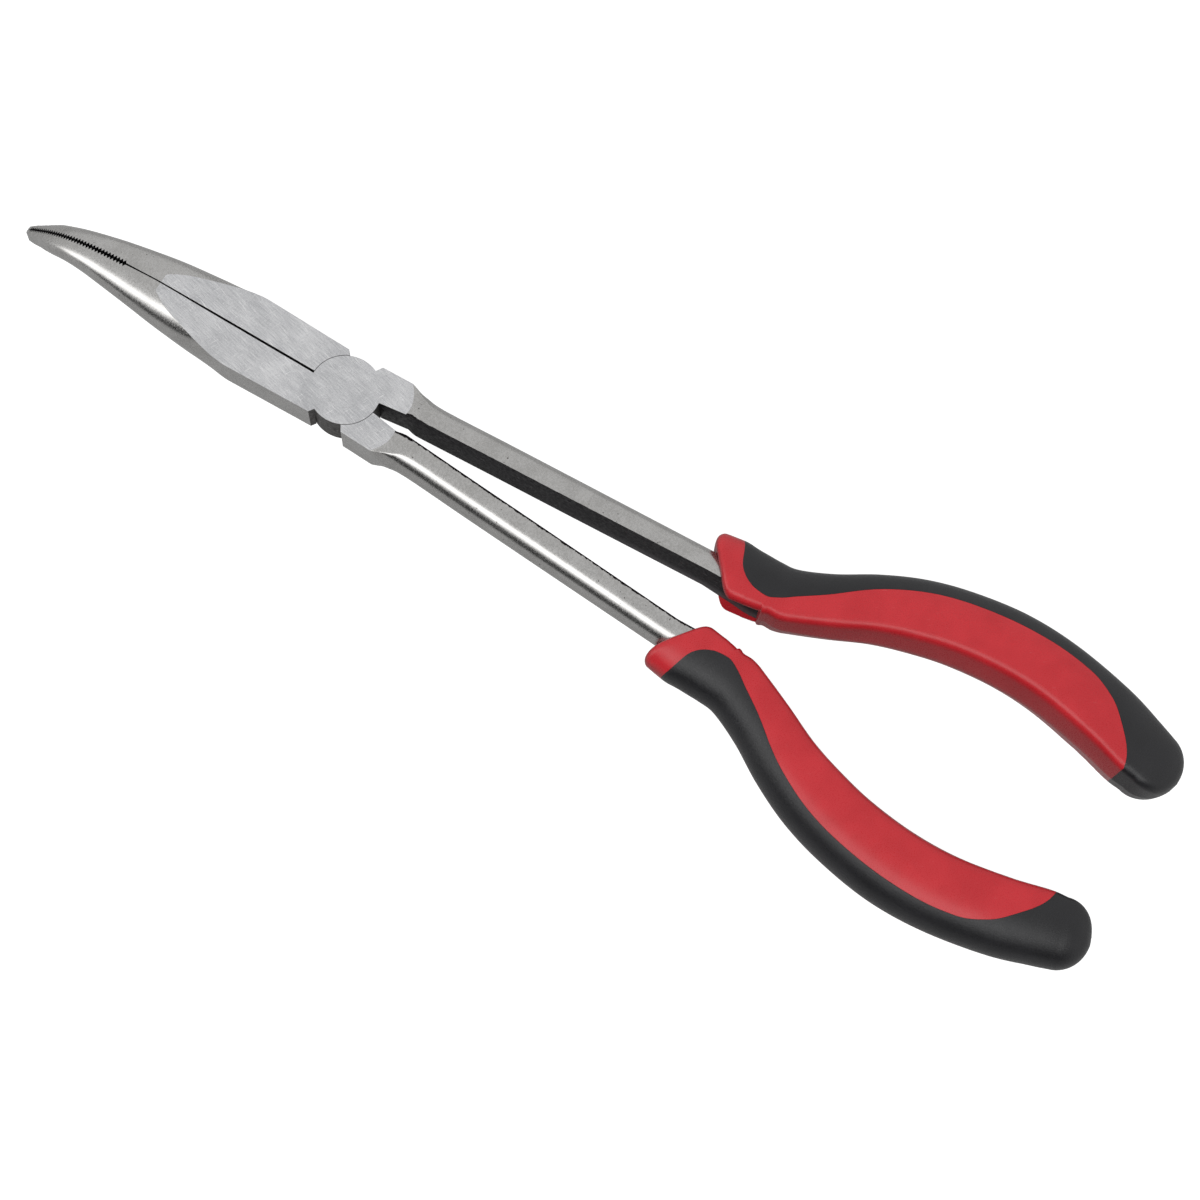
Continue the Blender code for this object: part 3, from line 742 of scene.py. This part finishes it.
def cover_blank(side):
    """The overmould: a strip round the outer side that closes into a solid cap at the end."""
    bm = bmesh.new()
    strip = [verts(bm, cover_ring(at, side)) for at in cover_stations()]
    loft(bm, strip, end_cap=False)
    skin_count = len(strip[0]) // 2
    skin, floor = strip[-1][:skin_count], strip[-1][skin_count:]

    def cap_ring(at, scale=1.0, past=0.0):
        place, outline, edge, _ = station(at, side)
        wall, outer = split(outline(scale=scale), (edge + COVER_SEAM) * scale)
        wall = even(wall, WALL_STEPS)[:-1]
        outer = mirrored(even(outer, SKIN_STEPS))
        ring = outer + [(u, -z) for u, z in wall[::-1]] + wall[1:]
        return [place(p, past) for p in ring]

    first = cap_ring(COVER_END)
    wall = verts(bm, first[skin_count:])
    bm.faces.new(floor + skin[:1] + wall[::-1] + skin[-1:])
    rings = [skin + wall]
    rings += [verts(bm, cap_ring(at)) for at in spread(COVER_END, GRIP_END, LONG_STEP)[1:]]
    for i in range(1, CAP_STEPS):
        angle = math.pi / 2 * i / CAP_STEPS
        rings.append(verts(bm, cap_ring(GRIP_END, math.cos(angle), CAP_LENGTH * math.sin(angle))))
    loft(bm, rings, start_cap=False)
    return bm


def pocket(side):
    """Space in the core for the steel, open at the collar."""
    bm = bmesh.new()
    rings = rein_rings(POCKET_GAP, start=len(REIN) - POCKET_ROWS) + tang_rings(POCKET_GAP)
    x, y = (sum(p[k] for p in rings[-1]) / len(rings[-1]) for k in (0, 1))
    rings.append([(p[0] + (x - p[0]) * POCKET_POINT, p[1] - POCKET_GAP, p[2]) for p in rings[-1]])
    loft(bm, [verts(bm, [to_world(lean(p, side), side) for p in ring]) for ring in rings])
    return raw_object("pocket", bm)


def slit(side):
    """The collar's open inner side, between its front lip and its back lip."""
    bm = bmesh.new()
    rings = []
    cuts = [(0.0, -SLIT_PAST_LIP)] + [(at, 0.0) for at in spread(0.0, SLIT_END, SLIT_CUT_STEP)]
    for at, past in cuts:
        place, _, _, half_width = station(at, side)
        outside = -half_width - SLIT_PAST_WALL
        box = [(outside, SLIT_HALF_HEIGHT), (-SLIT_FLOOR, SLIT_HALF_HEIGHT),
               (-SLIT_FLOOR, -SLIT_HALF_HEIGHT), (outside, -SLIT_HALF_HEIGHT)]
        rings.append(verts(bm, [place(p, past) for p in box]))
    loft(bm, rings)
    return raw_object("slit", bm)


def make_grip(word, side, red, black):
    """The hard core, with its steel pocket and collar slit, and the soft cover on it."""
    core = raw_object(f"{word}_grip_core", core_blank(side))
    carve(core, [pocket(side), slit(side)])
    finish_edges(core, COLLAR_BREAK, SHARP_GRIP, lambda edge: edge.verts[0].co.y > -COLLAR_BREAK_REACH * MM)
    ready(core, f"grip_core_{word}", "red_plastic", LEVERS[side], red)
    cover = raw_object(f"{word}_grip_cover", cover_blank(side))
    finish_edges(cover, 0.0, SHARP_GRIP)
    ready(cover, f"grip_cover_{word}", "black_rubber", LEVERS[side], black)


# ---------------------------------------------------------------- materials

def new_material(name, colour, roughness, metallic):
    made = bpy.data.materials.new(name)
    made.use_nodes = True
    shader = made.node_tree.nodes["Principled BSDF"]
    shader.inputs["Base Color"].default_value = (*colour, 1)
    shader.inputs["Roughness"].default_value = roughness
    shader.inputs["Metallic"].default_value = metallic
    return made, made.node_tree, shader


def node(tree, kind, inputs, **settings):
    """A node with its settings, and its inputs as values or as links from other nodes' outputs."""
    made = tree.nodes.new(kind)
    for key, value in settings.items():
        setattr(made, key, value)
    for key, value in inputs.items():
        if isinstance(value, bpy.types.NodeSocket):
            tree.links.new(value, made.inputs[key])
        else:
            made.inputs[key].default_value = value
    return made.outputs[0]


def rest_place(tree):
    """The point's place at rest, in metres."""
    return tree.nodes.new("ShaderNodeTexCoord").outputs["Object"]


def noise(tree, place, size, detail=3.0, roughness=0.55):
    """Noise from 0 to 1 with features about this many millimetres across."""
    return node(tree, "ShaderNodeTexNoise", {"Vector": place, "Scale": 1 / (size * MM), "Detail": detail,
                                             "Roughness": roughness})


def streaks(tree, place, length, width, angle):
    """Noise drawn out into strokes of this length and width, at an angle from +Y on the XY plane."""
    turned_place = node(tree, "ShaderNodeMapping", {"Vector": place, "Rotation": (0, 0, math.radians(angle))})
    squeezed = node(tree, "ShaderNodeMapping", {"Vector": turned_place,
                                                "Scale": (1 / width, 1 / length, 1 / width)})
    return node(tree, "ShaderNodeTexNoise", {"Vector": squeezed, "Scale": 1 / MM, "Detail": 3.0,
                                             "Roughness": 0.6})


def fade(tree, value, low, high, start=0.0, end=1.0):
    """Goes from start to end as the value goes from low to high."""
    return node(tree, "ShaderNodeMapRange", {"Value": value, "From Min": low, "From Max": high,
                                             "To Min": start, "To Max": end},
                interpolation_type="SMOOTHSTEP")


def maths(tree, operation, first, second):
    return node(tree, "ShaderNodeMath", {0: first, 1: second}, operation=operation)


def mixed(tree, share, first, second):
    """A colour between two colours."""
    made = tree.nodes.new("ShaderNodeMix")
    made.data_type = "RGBA"
    for key, value in (("Factor", share), ("A", first), ("B", second)):
        socket = next(s for s in made.inputs if s.name == key and s.enabled)
        if isinstance(value, bpy.types.NodeSocket):
            tree.links.new(value, socket)
        else:
            socket.default_value = (*value, 1) if isinstance(value, tuple) else value
    return next(s for s in made.outputs if s.enabled)


def raised(tree, height, depth):
    """A bump of this depth in millimetres."""
    return node(tree, "ShaderNodeBump", {"Height": height, "Distance": depth * MM, "Strength": 1.0})


def wire(tree, shader, **links):
    names = {"colour": "Base Color", "roughness": "Roughness", "normal": "Normal"}
    for key, value in links.items():
        tree.links.new(value, shader.inputs[names[key]])


def ground_steel():
    """Bright ground faces: a fine frost, faint strokes from the wheel and a few stray scratches."""
    made, tree, shader = new_material("ground_steel", (0.6, 0.6, 0.61), 0.3, 1.0)
    place = rest_place(tree)
    frost = noise(tree, place, 0.3, 3.0, 0.7)
    strokes = streaks(tree, place, 3.5, 0.13, 12)
    patches = noise(tree, place, 9.0, 2.0)
    long_scratch = fade(tree, streaks(tree, place, 5.0, 0.14, 24), 0.63, 0.7)
    cross_scratch = fade(tree, streaks(tree, place, 3.5, 0.13, -62), 0.63, 0.7)
    scratch = maths(tree, "MAXIMUM", long_scratch, cross_scratch)
    wear = maths(tree, "ADD", maths(tree, "MULTIPLY", frost, 0.35), maths(tree, "MULTIPLY", strokes, 0.45))
    wear = maths(tree, "ADD", wear, maths(tree, "MULTIPLY", patches, 0.25))
    colour = mixed(tree, fade(tree, wear, 0.38, 0.68), (0.5, 0.505, 0.52), (0.82, 0.82, 0.83))
    colour = mixed(tree, scratch, colour, (0.92, 0.92, 0.92))
    grooves = maths(tree, "SUBTRACT", wear, scratch)
    wire(tree, shader, colour=colour, roughness=fade(tree, frost, 0.3, 0.7, 0.28, 0.42),
         normal=raised(tree, grooves, 0.007))
    return made


def forged_steel():
    """Satin plated forging: a fine even grain, small dark specks, and black scale on marked edges."""
    made, tree, shader = new_material("forged_steel", (0.5, 0.49, 0.47), 0.3, 1.0)
    place = rest_place(tree)
    grain = noise(tree, place, 0.4, 4.0, 0.7)
    waves = noise(tree, place, 5.0, 2.0)
    specks = fade(tree, noise(tree, place, 0.8, 1.0), 0.73, 0.78)
    tone = maths(tree, "ADD", maths(tree, "MULTIPLY", grain, 0.7), maths(tree, "MULTIPLY", waves, 0.3))
    colour = mixed(tree, fade(tree, tone, 0.38, 0.62), (0.44, 0.433, 0.422), (0.56, 0.553, 0.543))
    colour = mixed(tree, maths(tree, "MULTIPLY", specks, 0.8), colour, (0.09, 0.08, 0.075))
    edge = node(tree, "ShaderNodeAttribute", {}, attribute_name="scale_edge").node.outputs["Fac"]
    chips = maths(tree, "MULTIPLY", noise(tree, place, 1.1, 4.0, 0.7), 0.9)
    reach = fade(tree, maths(tree, "ADD", edge, chips), 1.1, 1.16)
    colour = mixed(tree, reach, colour, (0.012, 0.01, 0.011))
    wire(tree, shader, colour=colour, roughness=fade(tree, grain, 0.3, 0.7, 0.2, 0.3),
         normal=raised(tree, maths(tree, "ADD", grain, waves), 0.0025))
    return made


def black_scale():
    """Dark oxide left between the handle bars, with chips along it that show grey, and a lighter band low on
    the inner side that is painted reflection of the floor.
    """
    made, tree, shader = new_material("black_scale", (0.006, 0.005, 0.006), 0.45, 0.0)
    place = rest_place(tree)
    rough = noise(tree, place, 0.8, 5.0, 0.65)
    chips = fade(tree, streaks(tree, place, 3.0, 0.5, 4), 0.63, 0.69)
    height = node(tree, "ShaderNodeSeparateXYZ", {"Vector": place}).node.outputs
    # Painted reflection: a lighter band near the back face, stronger towards the grip, with a rough boundary.
    painted_floor_reflection = maths(tree, "MULTIPLY", fade(tree, height["Z"], 1.2 * MM, 3.6 * MM, 1.0, 0.0),
                      fade(tree, height["Y"], -85 * MM, -40 * MM, 0.9, 0.05))
    painted_floor_reflection = maths(tree, "MULTIPLY", painted_floor_reflection, fade(tree, rough, 0.3, 0.6, 0.5, 1.0))
    shader.inputs["Specular IOR Level"].default_value = 0.18
    chips_and_painted_reflection = maths(tree, "MAXIMUM", maths(tree, "MULTIPLY", chips, 0.8), painted_floor_reflection)
    colour = mixed(tree, chips_and_painted_reflection, (0.005, 0.004, 0.0055), (0.085, 0.08, 0.085))
    wire(tree, shader, colour=colour, roughness=fade(tree, rough, 0.3, 0.7, 0.3, 0.55),
         normal=raised(tree, maths(tree, "SUBTRACT", rough, chips), 0.06))
    return made


def painted_shade_steel():
    """Rough steel in the joint's notches and round the lap, its colour darkened as painted shade for these
    hollows.
    """
    made, tree, shader = new_material("painted_shade_steel", (0.12, 0.115, 0.11), 0.5, 1.0)
    place = rest_place(tree)
    rough = noise(tree, place, 0.6, 4.0)
    # Both tones are painted shade: far darker than the forged steel, standing for the shade in the notches
    # and the lap.
    colour = mixed(tree, fade(tree, rough, 0.35, 0.65), (0.07, 0.066, 0.064), (0.15, 0.145, 0.14))
    wire(tree, shader, colour=colour, normal=raised(tree, rough, 0.03))
    return made


def red_plastic():
    """Satin moulded plastic with a fine grain, a few scuffs, painted shade that darkens the steep inner
    walls, and a lighter tone low on those walls that is partly a dusty film and partly painted reflection of
    the floor.
    """
    made, tree, shader = new_material("red_plastic", (0.5, 0.025, 0.035), 0.4, 0.0)
    place = rest_place(tree)
    grain = noise(tree, place, 0.2, 3.0, 0.6)
    waves = noise(tree, place, 8.0, 2.0)
    scuffs = fade(tree, streaks(tree, place, 2.5, 0.16, -35), 0.68, 0.76)
    facing = tree.nodes.new("ShaderNodeNewGeometry").outputs["Normal"]
    facing = node(tree, "ShaderNodeSeparateXYZ", {"Vector": facing}).node.outputs["Z"]
    up = maths(tree, "ABSOLUTE", facing, 0.0)
    height = node(tree, "ShaderNodeSeparateXYZ", {"Vector": place}).node.outputs["Z"]
    steep = fade(tree, up, 0.1, 0.8, 1.0, 0.0)
    # A lighter tone low on the steep walls, partly a dusty film and partly painted reflection of the floor.
    dust_and_floor_reflection = maths(tree, "MULTIPLY", steep, fade(tree, grain, 0.3, 0.6, 0.4, 1.0))
    dust_and_floor_reflection = maths(tree, "MULTIPLY", dust_and_floor_reflection, fade(tree, height, -1 * MM, 9 * MM, 1.0, 0.0))
    shader.inputs["Specular IOR Level"].default_value = 0.42
    colour = mixed(tree, fade(tree, waves, 0.3, 0.7), (0.51, 0.017, 0.025), (0.57, 0.023, 0.032))
    colour = mixed(tree, maths(tree, "MULTIPLY", scuffs, 0.25), colour, (0.75, 0.3, 0.3))
    # Painted shade: the steep walls are darkened towards a deep red.
    colour = mixed(tree, maths(tree, "MULTIPLY", steep, 0.6), colour, (0.16, 0.008, 0.012))
    colour = mixed(tree, maths(tree, "MULTIPLY", dust_and_floor_reflection, 0.5), colour, (0.34, 0.12, 0.12))
    wire(tree, shader, colour=colour, roughness=fade(tree, grain, 0.3, 0.7, 0.24, 0.36),
         normal=raised(tree, maths(tree, "ADD", grain, waves), 0.015))
    return made


def black_rubber():
    """Soft overmould with a very fine texture and a few small scuffs."""
    made, tree, shader = new_material("black_rubber", (0.03, 0.03, 0.032), 0.5, 0.0)
    place = rest_place(tree)
    grain = noise(tree, place, 0.25, 4.0, 0.7)
    waves = noise(tree, place, 9.0, 2.0)
    scuffs = fade(tree, streaks(tree, place, 2.2, 0.14, 40), 0.7, 0.78)
    shader.inputs["Specular IOR Level"].default_value = 0.5
    colour = mixed(tree, fade(tree, waves, 0.3, 0.7), (0.006, 0.006, 0.0075), (0.01, 0.01, 0.012))
    colour = mixed(tree, maths(tree, "MULTIPLY", scuffs, 0.5), colour, (0.07, 0.07, 0.072))
    wire(tree, shader, colour=colour, roughness=fade(tree, grain, 0.3, 0.7, 0.26, 0.42),
         normal=raised(tree, grain, 0.045))
    return made


# ---------------------------------------------------------------- stage, light and camera

# In metres
FLOOR_CLEARANCE = 0.0004
FLOOR_RADIUS = 1.6
# Light that the floor gives of itself, as the camera sees it and as the tool does
FLOOR_GLOW = 0.88
FLOOR_BOUNCE = 0.1


def stage_floor(lowest):
    bm = bmesh.new()
    bmesh.ops.create_circle(bm, cap_ends=True, segments=96, radius=FLOOR_RADIUS)
    mesh = bpy.data.meshes.new("floor")
    bm.to_mesh(mesh)
    bm.free()
    floor = bpy.data.objects.new("floor", mesh)
    bpy.context.scene.collection.objects.link(floor)
    floor.location.z = lowest - FLOOR_CLEARANCE
    made, tree, shader = new_material("pale_floor", (0.38, 0.38, 0.38), 0.9, 0.0)
    shader.inputs["Emission Color"].default_value = (1, 1, 1, 1)
    seen = tree.nodes.new("ShaderNodeLightPath").outputs["Is Camera Ray"]
    glow = fade(tree, seen, 0.0, 1.0, FLOOR_BOUNCE, FLOOR_GLOW)
    tree.links.new(glow, shader.inputs["Emission Strength"])
    mesh.materials.append(made)


SKY_BRIGHTNESS = 0.9
DARK_SIDE_BRIGHTNESS = 0.06
WINDOW_BRIGHTNESS = 3.2
# Directions over which the dark side and the window fade out: sideways, upwards, and along the nose
DARK_SIDE = (-0.6, -0.35)
DARK_LOW = (0.42, 0.6)
WINDOW_SIDE = (-0.42, -0.25)
WINDOW_FOOT = (0.6, 0.72)
BEYOND_NOSE = (0.45, 1.0)
BEYOND_NOSE_DROP = 0.8


def studio_light():
    """A soft even dome with a wide bright window on the left, above a dark low side. The window comes
    down to the floor beyond the nose."""
    world = bpy.data.worlds.new("studio")
    bpy.context.scene.world = world
    world.use_nodes = True
    tree = world.node_tree
    tree.nodes.clear()
    direction = tree.nodes.new("ShaderNodeTexCoord").outputs["Generated"]
    parts = node(tree, "ShaderNodeSeparateXYZ", {"Vector": direction}).node.outputs
    drop = fade(tree, parts["Y"], *BEYOND_NOSE, 0.0, BEYOND_NOSE_DROP)
    height = maths(tree, "ADD", parts["Z"], drop)
    dark_side = fade(tree, parts["X"], *DARK_SIDE, 1.0, 0.0)
    low = fade(tree, height, *DARK_LOW, 1.0, 0.0)
    dark = maths(tree, "MULTIPLY", dark_side, low)
    window_side = fade(tree, parts["X"], *WINDOW_SIDE, 1.0, 0.0)
    window = maths(tree, "MULTIPLY", window_side, fade(tree, height, *WINDOW_FOOT))
    sky = fade(tree, window, 0.0, 1.0, SKY_BRIGHTNESS, WINDOW_BRIGHTNESS)
    lit = maths(tree, "MULTIPLY", sky, fade(tree, dark, 0.0, 1.0, 1.0, DARK_SIDE_BRIGHTNESS))
    camera_ray = tree.nodes.new("ShaderNodeLightPath").outputs["Is Camera Ray"]
    strength = maths(tree, "MAXIMUM", lit, camera_ray)
    background = tree.nodes.new("ShaderNodeBackground")
    tree.links.new(strength, background.inputs["Strength"])
    output = tree.nodes.new("ShaderNodeOutputWorld")
    tree.links.new(background.outputs[0], output.inputs["Surface"])


def photo_camera():
    a, e = CAMERA_AZIMUTH, CAMERA_ELEVATION
    back = Vector((math.sin(a) * math.cos(e), -math.cos(a) * math.cos(e), math.sin(e)))
    data = bpy.data.cameras.new("camera")
    data.lens = CAMERA_LENS
    camera = bpy.data.objects.new("camera", data)
    bpy.context.scene.collection.objects.link(camera)
    camera.location = CAMERA_TARGET + back * CAMERA_DISTANCE
    camera.rotation_mode = "QUATERNION"
    camera.rotation_quaternion = (-back).to_track_quat("-Z", "Y") @ Quaternion((0, 0, 1), CAMERA_ROLL)
    bpy.context.scene.camera = camera


def main():
    photo_camera()
    steel = [forged_steel(), ground_steel(), black_scale(), painted_shade_steel()]
    make_half("front_half", 1, steel)
    make_half("back_half", -1, steel)
    rivet = turned("rivet", rivet_profile(0.0, 0.0))
    finish_edges(rivet, 0.0, SHARP_STEEL)
    ready(rivet, "pivot_rivet", "rivet_steel", LEVERS[1], steel[1])
    red, black = red_plastic(), black_rubber()
    make_grip("right", 1, red, black)
    make_grip("left", -1, red, black)
    stage_floor(CAD_BOX[0].z)
    studio_light()
    bpy.context.scene.view_settings.view_transform = "Standard"


main()
